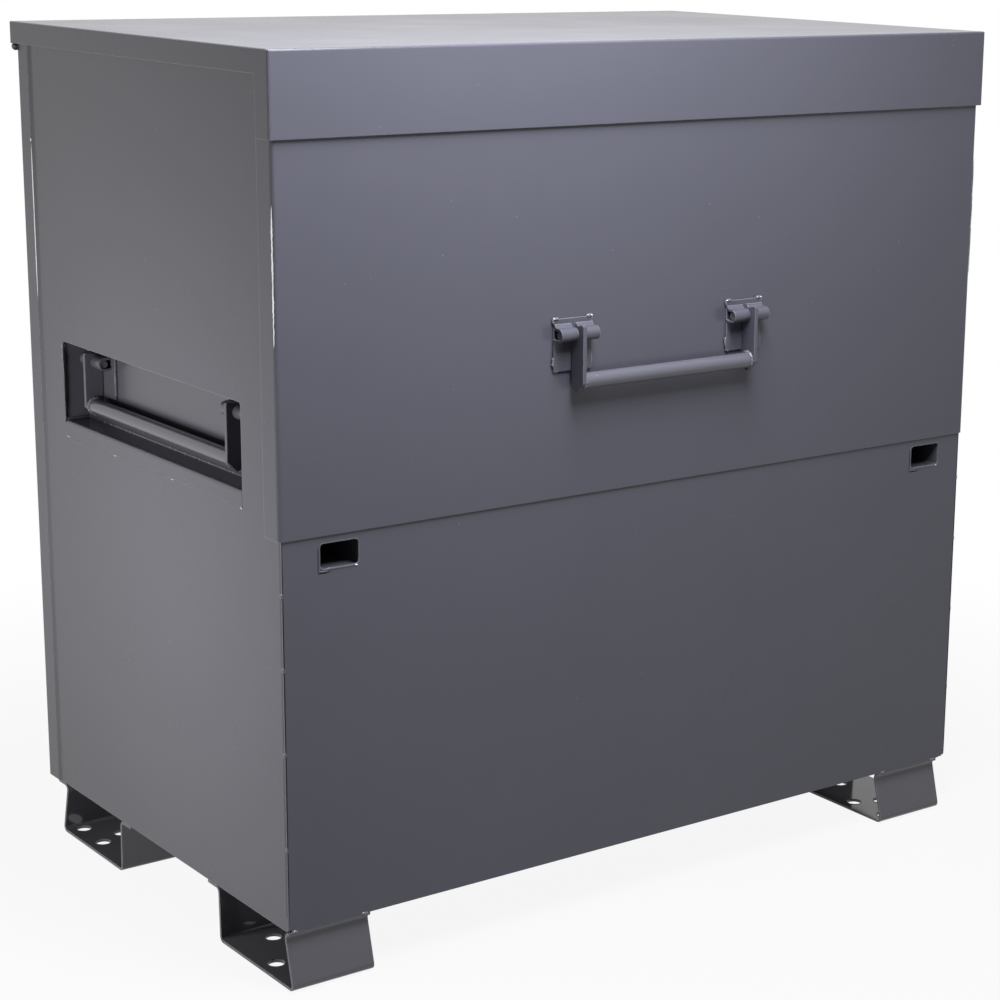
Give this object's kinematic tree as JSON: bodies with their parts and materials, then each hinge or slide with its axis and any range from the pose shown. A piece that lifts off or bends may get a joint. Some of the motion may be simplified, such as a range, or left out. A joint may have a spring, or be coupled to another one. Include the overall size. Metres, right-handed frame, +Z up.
{
  "type": "jobsite storage box",
  "caption": "Tall sheet-steel jobsite storage box on bent feet, with an L-shaped lift-up lid, recessed padlock ports and hinged drop handles.",
  "frame": {"origin": "middle of the bounding box's base, on the floor under the feet", "axes": "+X to the box's right seen from the front, -Y out of the front, +Z up"},
  "size_m": [1.219, 0.7894, 1.231],
  "materials": {
    "painted_steel": "satin powder coat",
    "painted_plate": "satin powder coat on plate",
    "zinc_plate": "zinc plated",
    "bare_pin": "oiled bright steel",
    "spring_tube": "gloss black paint",
    "spring_rod": "ground and plated",
    "bumper_rubber": "moulded rubber"
  },
  "bodies": {
    "body": {"side_panel_left": "painted_steel", "side_panel_right": "painted_steel", "back_panel": "painted_steel", "lower_front_panel": "painted_steel", "floor_panel": "painted_steel", "foot_front_left": "painted_plate", "foot_front_right": "painted_plate", "foot_rear_left": "painted_plate", "foot_rear_right": "painted_plate", "lock_housing_left": "painted_plate", "lock_housing_right": "painted_plate", "lock_eye_left": "painted_plate", "lock_eye_right": "painted_plate", "recess_pan_left": "painted_steel", "recess_pan_right": "painted_steel", "bumper_left": "bumper_rubber", "bumper_right": "bumper_rubber", "hinge_leaf_body": "painted_steel", "hinge_pin": "bare_pin", "left_handle_bracket_a": "painted_steel", "left_handle_bracket_b": "painted_steel", "right_handle_bracket_a": "painted_steel", "right_handle_bracket_b": "painted_steel", "spring_stud_left": "zinc_plate", "spring_stud_right": "zinc_plate"},
    "lid": {"lid_top": "painted_steel", "lid_front_panel": "painted_steel", "lid_top_stiffener": "painted_steel", "lid_front_stiffener": "painted_steel", "lock_strike_left": "painted_plate", "lock_strike_right": "painted_plate", "hinge_leaf_lid": "painted_steel", "front_handle_bracket_a": "painted_steel", "front_handle_bracket_b": "painted_steel", "spring_bracket_left": "zinc_plate", "spring_bracket_right": "zinc_plate"},
    "front_handle": {"front_handle_arm_a": "painted_steel", "front_handle_arm_b": "painted_steel", "front_handle_grip": "painted_steel", "front_handle_pin_a": "bare_pin", "front_handle_pin_b": "bare_pin"},
    "left_handle": {"left_handle_arm_a": "painted_steel", "left_handle_arm_b": "painted_steel", "left_handle_grip": "painted_steel", "left_handle_pin_a": "bare_pin", "left_handle_pin_b": "bare_pin"},
    "right_handle": {"right_handle_arm_a": "painted_steel", "right_handle_arm_b": "painted_steel", "right_handle_grip": "painted_steel", "right_handle_pin_a": "bare_pin", "right_handle_pin_b": "bare_pin"},
    "spring_tube_left": {"gas_spring_tube_left": "spring_tube"},
    "spring_rod_left": {"gas_spring_rod_left": "spring_rod"},
    "spring_tube_right": {"gas_spring_tube_right": "spring_tube"},
    "spring_rod_right": {"gas_spring_rod_right": "spring_rod"}
  },
  "joints": [
    {"name": "lid_hinge", "type": "hinge", "parent": "body", "child": "lid", "pos_m": [0, 0.39015, 1.195], "axis": [-1, 0, 0], "range_deg": [0, 62]},
    {"name": "front_handle_swing", "type": "hinge", "parent": "lid", "child": "front_handle", "pos_m": [0, -0.37665, 0.843], "axis": [-1, 0, 0], "range_deg": [0, 75]},
    {"name": "left_handle_swing", "type": "hinge", "parent": "body", "child": "left_handle", "pos_m": [-0.5755, 0.00765, 0.755], "axis": [0, 1, 0], "range_deg": [0, 75]},
    {"name": "right_handle_swing", "type": "hinge", "parent": "body", "child": "right_handle", "pos_m": [0.5755, 0.00765, 0.755], "axis": [0, -1, 0], "range_deg": [0, 75]},
    {"name": "spring_tilt_left", "type": "hinge", "parent": "body", "child": "spring_tube_left", "pos_m": [-0.5645, 0.36715, 0.9762], "axis": [-1, 0, 0], "range_deg": [0, 31.5]},
    {"name": "spring_stroke_left", "type": "slide", "parent": "spring_tube_left", "child": "spring_rod_left", "axis": [0, -0.6947, 0.7193], "range_m": [0, 0.143]},
    {"name": "spring_tilt_right", "type": "hinge", "parent": "body", "child": "spring_tube_right", "pos_m": [0.5645, 0.36715, 0.9762], "axis": [-1, 0, 0], "range_deg": [0, 31.5]},
    {"name": "spring_stroke_right", "type": "slide", "parent": "spring_tube_right", "child": "spring_rod_right", "axis": [0, -0.6947, 0.7193], "range_m": [0, 0.143]}
  ],
  "couplings": [
    {"joint": "spring_tilt_left", "follows": "lid_hinge", "ratio": 0.5},
    {"joint": "spring_stroke_left", "follows": "lid_hinge", "m_per_rad": 0.13137},
    {"joint": "spring_tilt_right", "follows": "lid_hinge", "ratio": 0.5},
    {"joint": "spring_stroke_right", "follows": "lid_hinge", "m_per_rad": 0.13137}
  ]
}
